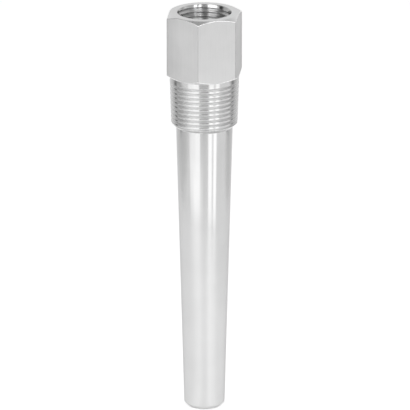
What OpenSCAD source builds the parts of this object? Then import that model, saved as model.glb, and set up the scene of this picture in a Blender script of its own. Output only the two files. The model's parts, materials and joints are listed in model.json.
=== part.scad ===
// Screwed thermowell, turned from one hexagonal bar.
//
// The well closes off a pipe or tank, so that a temperature probe can be changed while the line stays full.
// From the top down it has a hexagon for the wrench, a tapered pipe thread that seals in the process
// fitting, and a tapered shank that stands in the flow. A threaded socket in the hexagon takes the
// instrument, and a deep drilled bore takes the probe.
//
// Frame: millimetres. The axis is Z, the tip stands on z = 0, and the socket opens upwards.

/* [Head] */
// Width of the hexagon across its flats, which is the wrench size
hex_af = 27; // [27:0.5:36]
// Height of the hexagon
hex_h = 25.4; // [16:0.2:45]
// Diameter of the flat face that the corner chamfer leaves on top
hex_face_d = 26.6; // [24:0.1:27]
// Slope of the corner chamfers, above the end faces, in degrees
hex_chamfer_slope = 30; // [15:5:45]

/* [Process thread] */
// Diameter over the crests at the thread's small end
process_crest_d = 25.7; // [25:0.05:27]
// Threads in an inch
process_tpi = 14; // [11.5, 14, 18]
// Length from the hexagon to the shank, with the end chamfer
process_len = 20.6; // [14:0.2:30]
// Length of the plain ring under the hexagon, where the thread runs out
runout_len = 1.8; // [1.4:0.2:6]

/* [Shank] */
// Length that stands in the flow, from the thread to the tip
insertion_len = 114.3; // [50:0.1:300]
// Diameter of the shank where it leaves the thread
shank_root_d = 22; // [17:0.1:22.5]
// Diameter of the shank at the tip
shank_tip_d = 15.9; // [12:0.1:22]
// Width of the 45 degree chamfer on the tip
tip_chamfer = 1.6; // [0.4:0.1:3]

/* [Instrument socket] */
// Diameter of the tap-drill hole
socket_d = 18.26; // [14:0.02:19]
// Depth of the tap-drill hole at its full diameter
socket_depth = 20; // [12:0.5:30]
// Diameter of the mouth at the face
socket_mouth_d = 21; // [20.6:0.1:23]
// Depth of the mouth, down to the ledge on which the socket's thread begins
socket_mouth_depth = 2.1; // [1:0.1:4]
// Diameter of the mouth at that ledge
socket_ledge_d = 20.1; // [19.2:0.1:20.5]

/* [Probe bore] */
// Diameter of the probe's bore
probe_bore_d = 6.6; // [4:0.1:8]
// Thickness of metal between the bore's drill point and the tip
tip_wall = 6.35; // [4:0.05:15]
// Angle of the drill points, from side to side, in degrees
drill_point_angle = 118; // [90:1:140]

/* [Hidden] */
$fn = 96;

inch = 25.4;
// Pipe threads taper by 1 in 16 on the diameter.
pipe_taper = 1 / 16;
// A straight-sided piece of turned stock is drawn this much past a cut, so that the cut is clean.
clear = 1;

// Heights
shank_top_z = insertion_len;
hex_z = shank_top_z + process_len;
ring_z = hex_z - runout_len;
top_z = hex_z + hex_h;

// Radii of the head
hex_flat_r = hex_af / 2;
hex_corner_r = hex_flat_r / cos(30);
stock_r = hex_corner_r + clear;

// Thread form: 60 degrees, with flats on its crests and roots
pitch = inch / process_tpi;
flat_share = 0.1;
crest_flat = flat_share * pitch;
thread_depth = (pitch - 2 * crest_flat) / 2 / tan(30);
// Steps in one turn of the groove
turn_steps = 36;
// The groove leaves the metal over this share of its last turn.
exit_turns = 0.5;

function crest_r(z) = (process_crest_d + pipe_taper * (min(z, ring_z) - shank_top_z)) / 2;
function drill_point_h(d) = d / 2 / tan(drill_point_angle / 2);

// The bar as it comes from the mill.
module hex_stock() {
    cylinder(r = hex_corner_r, h = top_z, $fn = 6);
}

// What the lathe leaves: shank, thread blank and chamfered head in one profile.
module turned_envelope() {
    ring_r = crest_r(ring_z);
    face_r = hex_face_d / 2;
    root_r = shank_root_d / 2;
    // The end chamfer of the thread runs at 45 degrees from the shank out to the tapering crests.
    chamfer_w = (crest_r(shank_top_z) - root_r) / (1 - pipe_taper / 2);
    rotate_extrude()
    polygon([
        [0, 0],
        [shank_tip_d / 2 - tip_chamfer, 0],
        [shank_tip_d / 2, tip_chamfer],
        [root_r, shank_top_z],
        [root_r + chamfer_w, shank_top_z + chamfer_w],
        [ring_r, ring_z],
        [ring_r, hex_z],
        [stock_r, hex_z + (stock_r - ring_r) * tan(hex_chamfer_slope)],
        [stock_r, top_z - (stock_r - face_r) * tan(hex_chamfer_slope)],
        [face_r, top_z],
        [0, top_z]
    ]);
}

// The groove's outline at a number of turns from its start: radius and height of each corner.
function groove_corners(turn, turns) =
    let (z = shank_top_z + (turn - 1) * pitch,
         lift = max(0, turn - turns + exit_turns) / exit_turns * (thread_depth + crest_flat),
         root = crest_r(z) - thread_depth + lift,
         flare = crest_flat / 2,
         brim = root + thread_depth + flare,
         w_root = crest_flat / 2,
         w_brim = w_root + (brim - root) * tan(30))
    [[root, z - w_root], [root, z + w_root],
     [brim, z + w_brim], [brim + clear, z + w_brim],
     [brim + clear, z - w_brim], [brim, z - w_brim]];

// A right-hand groove on the taper, which starts below the thread and fades out in the plain ring.
module thread_groove() {
    turns = (ring_z - shank_top_z) / pitch + 1 + exit_turns;
    steps = ceil(turns * turn_steps);
    sections = [for (i = [0:steps]) groove_corners(i * turns / steps, turns)];
    corners = len(sections[0]);
    points = [for (i = [0:steps], c = sections[i])
        [c[0] * cos(360 * turns * i / steps), c[0] * sin(360 * turns * i / steps), c[1]]];
    walls = [for (i = [0:steps - 1], j = [0:corners - 1])
        let (k = (j + 1) % corners, a = i * corners, b = a + corners)
        each [[a + j, b + k, a + k], [a + j, b + j, b + k]]];
    first = [for (j = [0:corners - 1]) j];
    last = [for (j = [corners - 1:-1:0]) steps * corners + j];
    polyhedron(points, concat(walls, [first, last]), convexity = 20);
}

// Tap-drill hole with its drill point, and the wider mouth over it. The ledge between them has the slope
// of the thread's flanks.
module socket_cut() {
    hole_r = socket_d / 2;
    ledge_r = socket_ledge_d / 2;
    ledge_z = top_z - socket_mouth_depth;
    mouth_r = socket_mouth_d / 2;
    floor_z = top_z - socket_depth;
    rotate_extrude()
    polygon([
        [0, floor_z - drill_point_h(socket_d)],
        [hole_r, floor_z],
        [hole_r, ledge_z - (ledge_r - hole_r) * tan(30)],
        [ledge_r, ledge_z],
        [mouth_r, top_z],
        [mouth_r, top_z + clear],
        [0, top_z + clear]
    ]);
}

// Deep hole for the probe, down to its drill point over the tip.
module probe_bore_cut() {
    bore_r = probe_bore_d / 2;
    rotate_extrude()
    polygon([
        [0, tip_wall],
        [bore_r, tip_wall + drill_point_h(probe_bore_d)],
        [bore_r, top_z - socket_depth],
        [0, top_z - socket_depth]
    ]);
}

module thermowell() {
    color("silver")
    difference() {
        intersection() {
            hex_stock();
            turned_envelope();
        }
        thread_groove();
        socket_cut();
        probe_bore_cut();
    }
}

thermowell();
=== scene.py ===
"""Looks of the screwed thermowell, in metres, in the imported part's own frame.

The well is one closed mesh: a profile that runs from the tip up the outside, over the head and down the
inside, given once for every angle about the axis. Where a pipe thread lies, the profile's rows follow its
helix.
"""
import json
import math

import bmesh
import bpy
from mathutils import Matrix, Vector


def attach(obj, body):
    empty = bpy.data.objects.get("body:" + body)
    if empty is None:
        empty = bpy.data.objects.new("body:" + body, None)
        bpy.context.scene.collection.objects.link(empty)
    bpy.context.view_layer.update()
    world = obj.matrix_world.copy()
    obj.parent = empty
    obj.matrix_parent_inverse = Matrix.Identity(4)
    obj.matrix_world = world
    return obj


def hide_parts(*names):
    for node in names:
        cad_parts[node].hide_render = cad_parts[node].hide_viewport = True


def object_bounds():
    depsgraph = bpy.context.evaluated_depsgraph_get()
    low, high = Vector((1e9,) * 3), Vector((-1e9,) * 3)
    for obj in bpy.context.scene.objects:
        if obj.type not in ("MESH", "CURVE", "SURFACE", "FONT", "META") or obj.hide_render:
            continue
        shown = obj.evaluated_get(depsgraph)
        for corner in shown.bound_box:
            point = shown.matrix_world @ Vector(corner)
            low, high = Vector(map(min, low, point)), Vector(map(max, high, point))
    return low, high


MM = 0.001
INCH = 25.4 * MM
TURN = 2 * math.pi

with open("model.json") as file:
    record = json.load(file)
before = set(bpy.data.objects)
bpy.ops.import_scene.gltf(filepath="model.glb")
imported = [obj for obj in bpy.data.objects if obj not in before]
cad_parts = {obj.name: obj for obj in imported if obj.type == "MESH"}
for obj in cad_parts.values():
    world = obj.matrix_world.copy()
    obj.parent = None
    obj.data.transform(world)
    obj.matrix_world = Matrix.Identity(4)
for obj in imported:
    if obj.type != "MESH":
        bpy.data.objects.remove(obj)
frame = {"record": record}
cad_low, cad_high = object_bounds()
mounts = {m["name"]: m for m in frame["record"]["mounts"]}


def mount_z(name):
    return mounts[name]["pos_m"][2]


def mount_mm(name, dim):
    return mounts[name]["dims"][dim] * MM


# ---------------------------------------------------------------- sizes
# Hexagon
TOP_Z = cad_high[2]
HEX_CORNER_R = cad_high[0]
HEX_FLAT_R = HEX_CORNER_R * math.cos(math.radians(30))
HEX_H = INCH
HEX_Z = TOP_Z - HEX_H
HEX_FACE_R = 13.3 * MM
HEX_CHAMFER_SLOPE = math.radians(30)

# Both pipe threads: pitch, taper on the diameter, and the form of a turn
PITCH = INCH / 14
PIPE_TAPER = 1 / 16
ROOT_FLAT = 0.12 * MM
CREST_ROUND = 0.15 * MM
CREST_FLAT = 0.6 * MM
SOCKET_CREST_ROUND = 0.3 * MM
FLANK_SLOPE = math.radians(30)

# Outer thread. Its start is a share of a turn. Over its last half turn the groove rises out of the metal, by
# a little more than the thread's depth.
SHANK_TOP_Z = mount_z("process_thread")
PROCESS_CREST_R = 12.85 * MM
RING_H = 1.8 * MM
RING_Z = HEX_Z - RING_H
EXIT_TURNS = 0.5
EXIT_LIFT = 1.2
THREAD_START = 0.12
# The thread's rows end this far under the hexagon.
NECK_H = 0.2 * MM

SHANK_ROOT_R = 11 * MM
SHANK_TIP_R = 7.95 * MM
TIP_CHAMFER = 1.6 * MM

# Socket: tap-drill hole, steep countersink with a lip at the face, and the inner thread
SOCKET_R = mount_mm("instrument_thread", "r_mm")
SOCKET_FLOOR_Z = mount_z("instrument_thread") - mount_mm("instrument_thread", "length_mm")
SOCKET_MOUTH_R = 10.5 * MM
SOCKET_MOUTH_SLOPE = math.radians(24)
SOCKET_LIP_H = 0.4 * MM
SOCKET_MAJOR_R = 10.7 * MM
SOCKET_THREAD_START = 0.70
SOCKET_THREAD_LEN = 14.5 * MM

BORE_R = mount_mm("probe_bore", "r_mm")
BORE_TOP_Z = mount_z("probe_bore")
BORE_FLOOR_Z = BORE_TOP_Z - mount_mm("probe_bore", "length_mm")
DRILL_POINT_SLOPE = math.radians(90 - 118 / 2)

# Rounds on the turned edges, and on the hexagon's upright corners
EDGE_R = 0.2 * MM
CORNER_R = 0.35 * MM

# Steps of the mesh
EASE_STEPS = 3
CREST_STEPS = 4
COLUMN_STEPS = 180
CORNER_COLUMNS = (-0.9, -0.6, -0.3, 0.3, 0.6, 0.9)
WELD_DIST = 0.002 * MM

# ---------------------------------------------------------------- profiles


def eased(points, radius):
    """The outline with its inner corners eased by short curves, always with the same number of points.

    A curve takes up less than half of each side, so that neighbours don't meet.
    """
    out = [points[0]]
    for before, corner, after in zip(points, points[1:], points[2:]):
        p, c, n = Vector(before), Vector(corner), Vector(after)
        back, ahead = p - c, n - c
        reach = min(radius, 0.45 * back.length, 0.45 * ahead.length)
        start = c + back.normalized() * reach if back.length else c
        end = c + ahead.normalized() * reach if ahead.length else c
        for i in range(EASE_STEPS + 1):
            t = i / EASE_STEPS
            out.append(tuple((1 - t) ** 2 * start + 2 * t * (1 - t) * c + t * t * end))
    out.append(points[-1])
    return out


def thread_form(crest_round, crest_flat=0):
    """One turn of the thread, from root to root: (share of the pitch, height over the root).

    The crest is a flat between two rounds, or one round where there is no flat.
    """
    off_normal = math.pi / 2 - FLANK_SLOPE
    foot = PITCH / 2 - crest_flat / 2 - crest_round * math.sin(off_normal) - ROOT_FLAT / 2
    top = crest_round * (1 - math.cos(off_normal)) + foot / math.tan(FLANK_SLOPE)
    rise = []
    for i in range(-CREST_STEPS, 1):
        a = off_normal * i / CREST_STEPS
        across = crest_round * math.sin(a) - crest_flat / 2
        rise.append((across / PITCH, top - crest_round * (1 - math.cos(a))))
    fall = [(-share, h) for share, h in reversed(rise if crest_flat else rise[:-1])]
    crest = [(0.5 + share, h) for share, h in rise + fall]
    edge = ROOT_FLAT / 2 / PITCH
    return top, [(0, 0), (edge, 0)] + crest + [(1 - edge, 0)]


THREAD_DEPTH, FORM = thread_form(CREST_ROUND, CREST_FLAT)
SOCKET_FORM = thread_form(SOCKET_CREST_ROUND)[1]


def crest_r(z):
    """The outer thread's radius over its crests. It stays the same from the plain ring upwards."""
    return PROCESS_CREST_R + PIPE_TAPER / 2 * (min(z, RING_Z) - SHANK_TOP_Z)


def cut_to(rows, limit, keep_lower):
    """The rows held under (or over) the limit radius, with the rows next to each crossing moved onto it."""
    sign = 1 if keep_lower else -1
    over = [sign * (r - limit(z)) > 0 for z, r in rows]
    out = [(limit(z) if o else r, z) for (z, r), o in zip(rows, over)]
    for i in range(len(rows) - 1):
        if over[i] == over[i + 1]:
            continue
        (z0, r0), (z1, r1) = rows[i], rows[i + 1]
        g0, g1 = r0 - limit(z0), r1 - limit(z1)
        t = g0 / (g0 - g1)
        z = z0 + t * (z1 - z0)
        out[i if t < 0.5 else i + 1] = (limit(z), z)
    return out


def clamp_rows(rows, low, high):
    """Rows past the ends of the stretch fall onto its end circles."""
    return [low if z <= low[1] else high if z >= high[1] else (r, z) for r, z in rows]


def process_thread(angle):
    """Outer thread, from the shank's top to the plain ring."""

    def end_chamfer(z):
        return SHANK_ROOT_R + z - SHANK_TOP_Z

    turns_end = (RING_Z - SHANK_TOP_Z) / PITCH + 1 + EXIT_TURNS
    rows = []
    for turn in range(-1, math.ceil((HEX_Z - SHANK_TOP_Z) / PITCH) + 1):
        for share, h in FORM:
            start = turn + THREAD_START + angle / TURN
            z = SHANK_TOP_Z + PITCH * (start + share - 1)
            groove = start + (0 if share < 0.5 else 1)
            lift = max(0, groove - turns_end + EXIT_TURNS) / EXIT_TURNS * EXIT_LIFT
            # The taper is read half a pitch further up.
            crest = crest_r(z + PITCH / 2)
            rows.append((z, min(crest, crest - THREAD_DEPTH + h + lift * THREAD_DEPTH)))
    rows = cut_to(rows, end_chamfer, True)
    return clamp_rows(rows, (SHANK_ROOT_R, SHANK_TOP_Z), (crest_r(HEX_Z), HEX_Z - NECK_H))


def mouth_r(z):
    """The countersink, down to the tap-drill hole."""
    return max(SOCKET_R, SOCKET_MOUTH_R - (TOP_Z - z) * math.tan(SOCKET_MOUTH_SLOPE))


def socket_thread(angle):
    """Inner thread, from the mouth down into the tap-drill hole, where it fades out over one turn."""
    end_z = TOP_Z - SOCKET_THREAD_LEN
    rows = []
    for turn in range(-2, math.ceil(SOCKET_THREAD_LEN / PITCH) + 1):
        for share, h in SOCKET_FORM:
            z = end_z + PITCH * (turn + share + angle / TURN - 1 + SOCKET_THREAD_START)
            major = SOCKET_MAJOR_R - PIPE_TAPER / 2 * (TOP_Z - z)
            fade = min(1, max(0, (z - end_z) / PITCH))
            r = SOCKET_R + (major - h - SOCKET_R) * fade
            rows.append((z, max(r, SOCKET_R)))
    rows = cut_to(rows, mouth_r, False)
    lip_z = TOP_Z - SOCKET_LIP_H
    rows = clamp_rows(rows, (SOCKET_R, end_z), (mouth_r(lip_z), lip_z))
    return rows[::-1]


def off_corner(angle):
    """The angle to the hexagon's nearest corner."""
    sixth = TURN / 6
    return abs((angle + sixth / 2) % sixth - sixth / 2)


def hexagon_r(angle):
    """How far the hexagon's wall is from the axis at an angle. Its corners are rounded."""
    off = off_corner(angle)
    sharp = HEX_FLAT_R / math.cos(TURN / 12 - off)
    centre = HEX_CORNER_R - CORNER_R / math.cos(TURN / 12)
    chord = centre * math.sin(off)
    if chord > CORNER_R / 2:
        return sharp
    return min(sharp, centre * math.cos(off) + math.sqrt(CORNER_R**2 - chord**2))


def head_profile(angle):
    """From the plain ring over the hexagon to the socket's mouth."""
    wall_r = hexagon_r(angle)
    ring_r = crest_r(HEX_Z)
    slope = math.tan(HEX_CHAMFER_SLOPE)
    corners = [
        (ring_r, HEX_Z - NECK_H),
        (ring_r, HEX_Z),
        (wall_r, HEX_Z + (wall_r - ring_r) * slope),
        (wall_r, TOP_Z - (wall_r - HEX_FACE_R) * slope),
        (HEX_FACE_R, TOP_Z),
        (SOCKET_MOUTH_R, TOP_Z),
        (mouth_r(TOP_Z - SOCKET_LIP_H), TOP_Z - SOCKET_LIP_H),
    ]
    return eased(corners, EDGE_R)


def tip_profile():
    """From the middle of the tip up the shank to the thread."""
    corners = [
        (0, 0),
        (SHANK_TIP_R - TIP_CHAMFER, 0),
        (SHANK_TIP_R, TIP_CHAMFER),
        (SHANK_ROOT_R, SHANK_TOP_Z),
    ]
    return eased(corners, EDGE_R)


def bore_profile():
    """From the end of the inner thread down to the bottom of the probe's bore."""
    apex_drop = SOCKET_R * math.tan(DRILL_POINT_SLOPE)
    corners = [
        (SOCKET_R, TOP_Z - SOCKET_THREAD_LEN),
        (SOCKET_R, SOCKET_FLOOR_Z),
        (BORE_R, SOCKET_FLOOR_Z - apex_drop + BORE_R * math.tan(DRILL_POINT_SLOPE)),
        (BORE_R, BORE_FLOOR_Z),
        (0, BORE_FLOOR_Z - BORE_R * math.tan(DRILL_POINT_SLOPE)),
    ]
    return eased(corners, EDGE_R)


# ---------------------------------------------------------------- mesh


def column_angles():
    """Even steps, and closer ones in degrees round the hexagon's corners. The last closes the turn."""
    angles = {TURN * i / COLUMN_STEPS for i in range(COLUMN_STEPS + 1)}
    for corner in range(7):
        for off in CORNER_COLUMNS:
            angle = TURN * corner / 6 + math.radians(off)
            if 0 < angle < TURN:
                angles.add(angle)
    return sorted(angles)


def well_mesh():
    """The profile at each angle, skinned into one closed and smooth mesh."""
    columns = []
    for angle in column_angles():
        rows = tip_profile() + process_thread(angle) + head_profile(angle)
        rows += socket_thread(angle) + bore_profile()
        columns.append([(r * math.cos(angle), r * math.sin(angle), z) for r, z in rows])
    height = len(columns[0])
    verts = [v for column in columns for v in column]
    faces = [
        (a + j, a + height + j, a + height + j + 1, a + j + 1)
        for a in range(0, height * (len(columns) - 1), height)
        for j in range(height - 1)
    ]
    mesh = bpy.data.meshes.new("thermowell_well")
    mesh.from_pydata(verts, [], faces)
    bm = bmesh.new()
    bm.from_mesh(mesh)
    bmesh.ops.remove_doubles(bm, verts=bm.verts, dist=WELD_DIST)
    bmesh.ops.recalc_face_normals(bm, faces=bm.faces)
    bm.to_mesh(mesh)
    bm.free()
    for polygon in mesh.polygons:
        polygon.use_smooth = True
    return mesh


mesh = well_mesh()
well = bpy.data.objects.new("well", mesh)
bpy.context.scene.collection.objects.link(well)

# ---------------------------------------------------------------- nodes


def math_node(nodes, links, operation, *sources):
    """A math node on sockets or plain numbers."""
    node = nodes.new("ShaderNodeMath")
    node.operation = operation
    for socket, source in zip(node.inputs, sources):
        if isinstance(source, (int, float)):
            socket.default_value = source
        else:
            links.new(source, socket)
    return node


def vector_node(nodes, links, operation, source, other=None):
    """A vector math node on a socket and, where it takes two, a plain vector."""
    node = nodes.new("ShaderNodeVectorMath")
    node.operation = operation
    links.new(source, node.inputs[0])
    if other is not None:
        node.inputs[1].default_value = other
    return node


def split(nodes, links, source):
    """The X, Y and Z of a vector."""
    axes = nodes.new("ShaderNodeSeparateXYZ")
    links.new(source, axes.inputs[0])
    return axes.outputs


def mapped(nodes, links, source, span, target, kind="LINEAR"):
    """A value whose span is stretched onto the target's, and held at its ends."""
    node = nodes.new("ShaderNodeMapRange")
    node.interpolation_type = kind
    for name, value in zip(("From Min", "From Max", "To Min", "To Max"), span + target):
        node.inputs[name].default_value = value
    links.new(source, node.inputs["Value"])
    return node.outputs["Result"]


def level_ramp(nodes, links, source, stops):
    """Grey levels at places from 0 to 1."""
    node = nodes.new("ShaderNodeValToRGB")
    ramp = node.color_ramp
    ramp.elements[1].position = stops[-1][0]
    for place, _ in stops[1:-1]:
        ramp.elements.new(place)
    for element, (_, level) in zip(ramp.elements, stops):
        element.color = (level, level, level, 1)
    links.new(source, node.inputs["Fac"])
    return node.outputs["Color"]


# ---------------------------------------------------------------- steel
MARKS_PER_M = 6000
MARK_DEPTH = 0.001 * MM
PATCHES_PER_M = 70
# Die lines are coarser than turning marks, and run on along the bar.
DIE_LINE_SCALE = 0.6
DIE_LINE_RUN = 0.02
# Noise keeps mostly between these values.
NOISE_SPAN = (0.3, 0.7)


def noise_of(nodes, links, source, scale, detail):
    """Noise, on one number or on a place."""
    noise = nodes.new("ShaderNodeTexNoise")
    one = source.type == "VALUE"
    noise.noise_dimensions = "1D" if one else "3D"
    noise.inputs["Scale"].default_value = scale
    noise.inputs["Detail"].default_value = detail
    links.new(source, noise.inputs["W" if one else "Vector"])
    return noise.outputs[0]


def turned_marks(nodes, links, place):
    """Tool marks that run round the axis: rings along a barrel, circles on a face."""
    height = split(nodes, links, place)["Z"]
    flat = vector_node(nodes, links, "MULTIPLY", place, (1, 1, 0))
    radius = vector_node(nodes, links, "LENGTH", flat.outputs[0])
    along = math_node(nodes, links, "ADD", height, radius.outputs["Value"])
    return noise_of(nodes, links, along.outputs[0], MARKS_PER_M, 2)


def drawn_marks(nodes, links, place):
    """Die lines that run along the bar."""
    long = vector_node(nodes, links, "MULTIPLY", place, (1, 1, DIE_LINE_RUN))
    return noise_of(nodes, links, long.outputs[0], MARKS_PER_M * DIE_LINE_SCALE, 2)


def steel(name, color, roughness, tint=0.75, anisotropic=0.0, rotation=0.25, marks=turned_marks, uneven=0.03):
    """Stainless steel with the marks of its working, and a tone that varies a little from place to place."""
    material = bpy.data.materials.new(name)
    material.use_nodes = True
    nodes, links = material.node_tree.nodes, material.node_tree.links
    bsdf = nodes["Principled BSDF"]
    bsdf.inputs["Metallic"].default_value = 1
    bsdf.inputs["Specular Tint"].default_value = (tint, tint, tint, 1)
    place = nodes.new("ShaderNodeTexCoord").outputs["Object"]
    patches = noise_of(nodes, links, place, PATCHES_PER_M, 3)
    lines = marks(nodes, links, place)
    base = mapped(nodes, links, patches, NOISE_SPAN, ((1 - uneven) * color, (1 + uneven) * color))
    tone = math_node(nodes, links, "MULTIPLY", base, mapped(nodes, links, lines, NOISE_SPAN, (0.98, 1.02)))
    links.new(tone.outputs[0], bsdf.inputs["Base Color"])
    dullness = mapped(nodes, links, patches, NOISE_SPAN, (0.9 * roughness, 1.1 * roughness))
    links.new(dullness, bsdf.inputs["Roughness"])
    bump = nodes.new("ShaderNodeBump")
    bump.inputs["Distance"].default_value = MARK_DEPTH
    links.new(lines, bump.inputs["Height"])
    links.new(bump.outputs["Normal"], bsdf.inputs["Normal"])
    if anisotropic:
        tangent = nodes.new("ShaderNodeTangent")
        tangent.direction_type = "RADIAL"
        tangent.axis = "Z"
        links.new(tangent.outputs["Tangent"], bsdf.inputs["Tangent"])
        bsdf.inputs["Anisotropic"].default_value = anisotropic
        bsdf.inputs["Anisotropic Rotation"].default_value = rotation
    return material


# Each finish has its material's name, base colour and roughness.
FINISHES = {
    "turned": steel("turned_steel", 0.605, 0.15),
    "thread": steel("threaded_steel", 0.62, 0.2, tint=1.0, anisotropic=0.8),
    "flank": steel("thread_flank_steel", 0.66, 0.50, tint=1.0, anisotropic=0.6),
    "drawn": steel("drawn_steel", 0.645, 0.40, anisotropic=0.9, rotation=0.0, marks=drawn_marks, uneven=0.06),
    # The corner steel is the drawn steel made darker: a painted shade along the hexagon's upright corners.
    "corner": steel("painted_shade_corner_steel", 0.49, 0.35, marks=drawn_marks),
    "faced": steel("faced_steel", 0.73, 0.30),
    "bored": steel("bored_steel", 0.62, 0.31, anisotropic=1.0),
    # The edge steel is lighter than the rest: a painted highlight on the hexagon's rounded edges.
    "edge": steel("painted_highlight_edge_steel", 0.86, 0.24, tint=1.0),
}
for finish in FINISHES.values():
    mesh.materials.append(finish)

# A face's finish follows from how near it lies to these surfaces, and from how far its normal leans.
CREST_SKIN = 0.05 * MM
MOUTH_SKIN = 0.03 * MM
CHAMFER_SKIN = 0.1 * MM
FLANK_DEPTH = 0.4 * THREAD_DEPTH
SLIGHT_LEAN = 0.1
CREST_LEAN = 0.3
# How far a face may lean up and still take the painted edge highlight
EDGE_LEAN = 1.2
# The bore's faces in the tip lie above this height, and inside this share of the tip's radius.
BORE_FROM_Z = 3 * MM
BORE_SHARE = 0.9
# Width of the painted shade at each of the hexagon's upright corners
CORNER_BAND = math.radians(0.95)


def finish_of(polygon):
    """The finish of a face, from where it lies and which way it looks. Two finishes are painted light: a
    highlight on the hexagon's rounded edges and a shade on its upright corners.
    """
    c, n = polygon.center, polygon.normal
    r = math.hypot(c.x, c.y)
    outward = (n.x * c.x + n.y * c.y) / r if r else 0
    if c.z < SHANK_TOP_Z:
        return "bored" if r < BORE_SHARE * SHANK_TIP_R and c.z > BORE_FROM_Z else "turned"
    if outward < -SLIGHT_LEAN or r < 0.999 * SOCKET_MOUTH_R:
        return "turned" if abs(mouth_r(c.z) - r) < MOUTH_SKIN < r - SOCKET_R else "bored"
    under_crest = crest_r(c.z) - r
    past_chamfer = SHANK_ROOT_R + c.z - SHANK_TOP_Z > r + CHAMFER_SKIN
    if c.z < RING_Z and past_chamfer and under_crest > FLANK_DEPTH:
        return "flank"
    if c.z < HEX_Z:
        return "turned" if abs(n.z) < CREST_LEAN and under_crest < CREST_SKIN else "thread"
    if abs(n.z) > SLIGHT_LEAN:
        # Faces where the hexagon's chamfers round over into its walls take the bright edge steel, a painted
        # highlight.
        return "edge" if abs(n.z) < EDGE_LEAN * outward and r > 0.98 * HEX_FLAT_R else "faced"
    # Faces right at the hexagon's upright corners take the darker corner steel, a painted shade.
    return "corner" if off_corner(math.atan2(c.y, c.x)) < CORNER_BAND else "drawn"


finish_names = list(FINISHES)
for polygon in mesh.polygons:
    polygon.material_index = finish_names.index(finish_of(polygon))

shading = well.modifiers.new("weighted_normals", "WEIGHTED_NORMAL")
shading.weight = 100

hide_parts("thermowell")
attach(well, "root")

# ---------------------------------------------------------------- studio
# Where the camera stands: its azimuth counted from -Y toward +X, and its height over the horizon
AZIMUTH = math.radians(39.17)
ELEVATION = math.radians(17.74)


def toward_camera(azimuth, elevation=0):
    """Unit vector at an azimuth counted from the camera's own, positive to the picture's right."""
    a = AZIMUTH + azimuth
    flat = math.cos(elevation)
    return Vector((math.sin(a) * flat, -math.cos(a) * flat, math.sin(elevation)))


def stand(obj, azimuth, distance, height=0, lean=0):
    """Adds a studio piece at an azimuth in degrees, across the line to the object."""
    bpy.context.scene.collection.objects.link(obj)
    direction = toward_camera(math.radians(azimuth))
    obj.location = direction * distance + Vector((0, 0, height))
    obj.rotation_euler = (lean, 0, math.atan2(direction.y, direction.x) + math.radians(90))


def reflected_only(obj):
    """Keeps a studio piece out of everything but what the steel reflects."""
    obj.visible_camera = False
    obj.visible_diffuse = False
    obj.visible_shadow = False


FLOOR_HALF = 6
FLOOR_GAP = 0.02 * MM
PAPER_GLOW = 0.55


def paper_material():
    """White paper that shows as white."""
    paper = bpy.data.materials.new("paper")
    paper.use_nodes = True
    nodes, links = paper.node_tree.nodes, paper.node_tree.links
    bsdf = nodes["Principled BSDF"]
    bsdf.inputs["Roughness"].default_value = 0.9
    bsdf.inputs["Specular IOR Level"].default_value = 0.0
    bsdf.inputs["Emission Color"].default_value = (1, 1, 1, 1)
    bsdf.inputs["Base Color"].default_value = (0.8, 0.8, 0.8, 1)
    path = nodes.new("ShaderNodeLightPath")
    seen = math_node(nodes, links, "ADD", path.outputs["Is Camera Ray"], path.outputs["Is Glossy Ray"])
    seen = math_node(nodes, links, "ADD", seen.outputs[0], path.outputs["Is Transmission Ray"])
    seen.use_clamp = True
    glow = math_node(nodes, links, "MULTIPLY", seen.outputs[0], PAPER_GLOW)
    links.new(glow.outputs[0], bsdf.inputs["Emission Strength"])
    return paper


floor_mesh = bpy.data.meshes.new("floor")
floor_corners = [(x * FLOOR_HALF, y * FLOOR_HALF, 0) for x, y in ((-1, -1), (1, -1), (1, 1), (-1, 1))]
floor_mesh.from_pydata(floor_corners, [], [(0, 1, 2, 3)])
floor_mesh.materials.append(paper_material())
floor = bpy.data.objects.new("floor", floor_mesh)
bpy.context.scene.collection.objects.link(floor)
floor.location.z = -FLOOR_GAP

# The room's brightness from the side away from the bright wall, at 0, to the wall itself, at 1
BRIGHT_WALL = math.radians(162)
ROOM_LEVELS = ((0.0, 0.38), (0.19, 0.43), (0.34, 0.55), (0.42, 0.65), (0.58, 0.8), (0.75, 1.0))
# The ceiling's shade, and between which rises it sets in
CEILING_SHADE = 0.52
CEILING_SPAN = (0.48, 0.90)


def studio_world():
    """The wall behind is white. The room is darker toward the front, and so is the ceiling."""
    world = bpy.data.worlds.new("studio")
    world.use_nodes = True
    nodes, links = world.node_tree.nodes, world.node_tree.links
    direction = nodes.new("ShaderNodeTexCoord").outputs["Generated"]
    toward_wall = vector_node(nodes, links, "DOT_PRODUCT", direction, toward_camera(BRIGHT_WALL))
    share = mapped(nodes, links, toward_wall.outputs["Value"], (-1.0, 1.0), (0.0, 1.0))
    room = level_ramp(nodes, links, share, ROOM_LEVELS)
    height = split(nodes, links, direction)["Z"]
    ceiling = mapped(nodes, links, height, CEILING_SPAN, (1.0, CEILING_SHADE), kind="SMOOTHSTEP")
    background = nodes["Background"]
    links.new(room, background.inputs["Color"])
    links.new(ceiling, background.inputs["Strength"])
    return world


bpy.context.scene.world = studio_world()


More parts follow.
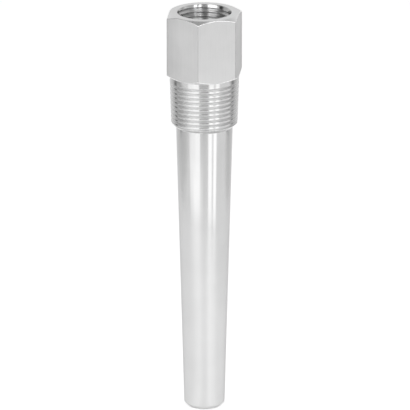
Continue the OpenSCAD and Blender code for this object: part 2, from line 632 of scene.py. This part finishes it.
def card(name, azimuth, width, distance, low, high, levels):
    """An upright card beside the object, with its brightness along it toward growing azimuth."""
    material = bpy.data.materials.new(name)
    material.use_nodes = True
    nodes, links = material.node_tree.nodes, material.node_tree.links
    bsdf = nodes["Principled BSDF"]
    bsdf.inputs["Base Color"].default_value = (0, 0, 0, 1)
    bsdf.inputs["Specular IOR Level"].default_value = 0.0
    bsdf.inputs["Emission Strength"].default_value = 1
    along = split(nodes, links, nodes.new("ShaderNodeTexCoord").outputs["Generated"])["X"]
    stops = [(i / (len(levels) - 1), level) for i, level in enumerate(levels)]
    shades = level_ramp(nodes, links, along, stops)
    links.new(shades, bsdf.inputs["Emission Color"])
    board = bpy.data.meshes.new(name)
    half = width / 2
    rim = [(-half, 0, low), (half, 0, low), (half, 0, high), (-half, 0, high)]
    board.from_pydata(rim, [], [(0, 1, 2, 3)])
    board.materials.append(material)
    obj = bpy.data.objects.new(name, board)
    stand(obj, azimuth, distance)
    reflected_only(obj)


# Name, azimuth in degrees, width, distance, lower and upper height, and levels toward growing azimuth. The
# wide cards stand for the room at both sides and in front. The small ones, close to the object, shade or
# light only the hexagon or the thread.
CARDS = (
    ("card_low_left", -105, 0.377, 0.25, 0.0, 0.03, (0.97, 0.90, 0.81, 0.80, 0.82, 0.95)),
    ("card_high_left", -105, 0.377, 0.25, 0.03, 0.35, (0.97, 0.80, 0.58, 0.52, 0.60, 0.92)),
    ("card_low_right", 118, 0.24, 0.25, 0.0, 0.03, (0.96, 0.90, 0.82, 0.82, 0.90, 0.96)),
    ("card_high_right", 118, 0.24, 0.25, 0.03, 0.35, (0.96, 0.72, 0.42, 0.68, 0.92, 0.96)),
    ("card_front", -1.5, 0.133, 0.24, 0.03, 0.25, (0.74, 0.72, 0.72, 0.72, 0.72, 0.74)),
    ("card_upper_left", -84, 0.10, 0.24, 0.17, 0.6, (0.4, 0.15, 0.03, 0.03, 0.03, 0.1)),
    ("card_upper_right", 72, 0.147, 0.24, 0.17, 0.6, (0.62, 0.58, 0.58, 0.6, 0.66, 0.74)),
    ("flag_left", -88, 0.024, 0.04, 0.125, 0.165, (0.7, 0.5, 0.4, 0.4, 0.5, 0.8)),
    ("glow_left", -61, 0.012, 0.04, 0.125, 0.165, (1.0, 1.0, 1.0, 1.0, 1.0, 1.0)),
    ("flag_right", 92, 0.020, 0.04, 0.125, 0.165, (0.8, 0.5, 0.4, 0.4, 0.5, 0.8)),
    ("shade_left", -102, 0.030, 0.07, 0.092, 0.136, (0.9, 0.35, 0.1, 0.3, 0.6, 0.95)),
    ("shade_right", 103, 0.026, 0.07, 0.092, 0.142, (0.8, 0.45, 0.22, 0.35, 0.6, 0.95)),
)
for row in CARDS:
    card(*row)

STRIP_DISTANCE = 0.2


def strip(name, azimuth, angle, low, high, strength):
    """An upright strip lamp that takes up an angle as seen from the object."""
    width = 2 * STRIP_DISTANCE * math.tan(math.radians(angle / 2))
    lamp = bpy.data.lights.new(name, "AREA")
    lamp.shape = "RECTANGLE"
    lamp.size = width
    lamp.size_y = high - low
    lamp.energy = strength * math.pi * width * (high - low)
    obj = bpy.data.objects.new(name, lamp)
    stand(obj, azimuth, STRIP_DISTANCE, (low + high) / 2, math.radians(90))
    obj.visible_camera = False


# Name, azimuth and angle taken up in degrees, lower and upper height, and strength
STRIPS = (
    ("strip_left_low", -40, 45, 0.006, 0.042, 0.40),
    ("strip_left_foot", -27, 40, 0.006, 0.023, 0.26),
    ("strip_left_mid", -36, 37, 0.042, 0.16, 0.42),
    ("strip_left_high", -40, 45, 0.16, 0.6, 1.5),
    ("strip_left_core_low", -27, 20.1, 0.006, 0.16, 0.12),
    ("strip_left_core_high", -27, 20.1, 0.16, 0.6, 0.4),
    ("strip_right_a_low", 23.4, 15.6, 0.006, 0.08, 0.70),
    ("strip_right_a_mid", 23.4, 15.6, 0.08, 0.16, 0.3),
    ("strip_right_a_high", 21, 11, 0.16, 0.6, 2.6),
    ("strip_right_b_low", 43.8, 13.2, 0.006, 0.08, 0.74),
    ("strip_right_b_mid", 43.8, 13.2, 0.08, 0.16, 0.25),
    ("strip_right_b_high", 43, 12, 0.16, 0.6, 2.6),
)
for row in STRIPS:
    strip(*row)

GLEAM_START_R = 10 * MM
# Azimuths in degrees round the floor, and how bright its gleam is there
GLEAM = (
    (-75, 0.0), (-60, 0.03), (-48, 0.09), (-37, 0.13), (-26, 0.15), (-16, 0.08), (-6, 0.03),
    (4, 0.04), (13, 0.13), (23, 0.21), (33, 0.15), (44, 0.13), (55, 0.05), (68, 0.0),
)


def floor_gleam():
    """What the strips lend to the paper, as the steel reflects it: a fan of light on the floor."""
    material = bpy.data.materials.new("gleam")
    material.use_nodes = True
    nodes, links = material.node_tree.nodes, material.node_tree.links
    level = nodes.new("ShaderNodeAttribute")
    level.attribute_name = "level"
    glow = nodes.new("ShaderNodeEmission")
    links.new(level.outputs["Fac"], glow.inputs["Strength"])
    both = nodes.new("ShaderNodeAddShader")
    links.new(glow.outputs[0], both.inputs[0])
    links.new(nodes.new("ShaderNodeBsdfTransparent").outputs[0], both.inputs[1])
    links.new(both.outputs[0], nodes["Material Output"].inputs["Surface"])
    ends = (GLEAM_START_R, STRIP_DISTANCE)
    verts = [toward_camera(math.radians(azimuth)) * r for azimuth, _ in GLEAM for r in ends]
    faces = [(2 * i, 2 * i + 1, 2 * i + 3, 2 * i + 2) for i in range(len(GLEAM) - 1)]
    fan = bpy.data.meshes.new("gleam")
    fan.from_pydata(verts, [], faces)
    levels = fan.attributes.new("level", "FLOAT", "POINT")
    for i, (_, value) in enumerate(GLEAM):
        levels.data[2 * i].value = value
        levels.data[2 * i + 1].value = value
    fan.materials.append(material)
    obj = bpy.data.objects.new("gleam", fan)
    bpy.context.scene.collection.objects.link(obj)
    reflected_only(obj)


floor_gleam()

# ---------------------------------------------------------------- camera
CAMERA_DISTANCE = 3.0
SENSOR_MM = 36
LENS_MM = 676.75
TARGET_Z = 81.95 * MM
# The axis stands this share of the picture's width beside its middle.
SIDE_SHIFT = 0.001463

camera_data = bpy.data.cameras.new("camera")
camera_data.sensor_width = SENSOR_MM
camera_data.lens = LENS_MM
camera_data.clip_end = 50
camera_data.shift_x = SIDE_SHIFT
camera = bpy.data.objects.new("camera", camera_data)
bpy.context.scene.collection.objects.link(camera)
camera.location = Vector((0, 0, TARGET_Z)) + toward_camera(0, ELEVATION) * CAMERA_DISTANCE
camera.rotation_euler = (math.radians(90) - ELEVATION, 0, AZIMUTH)
bpy.context.scene.camera = camera
bpy.context.scene.view_settings.view_transform = "Standard"
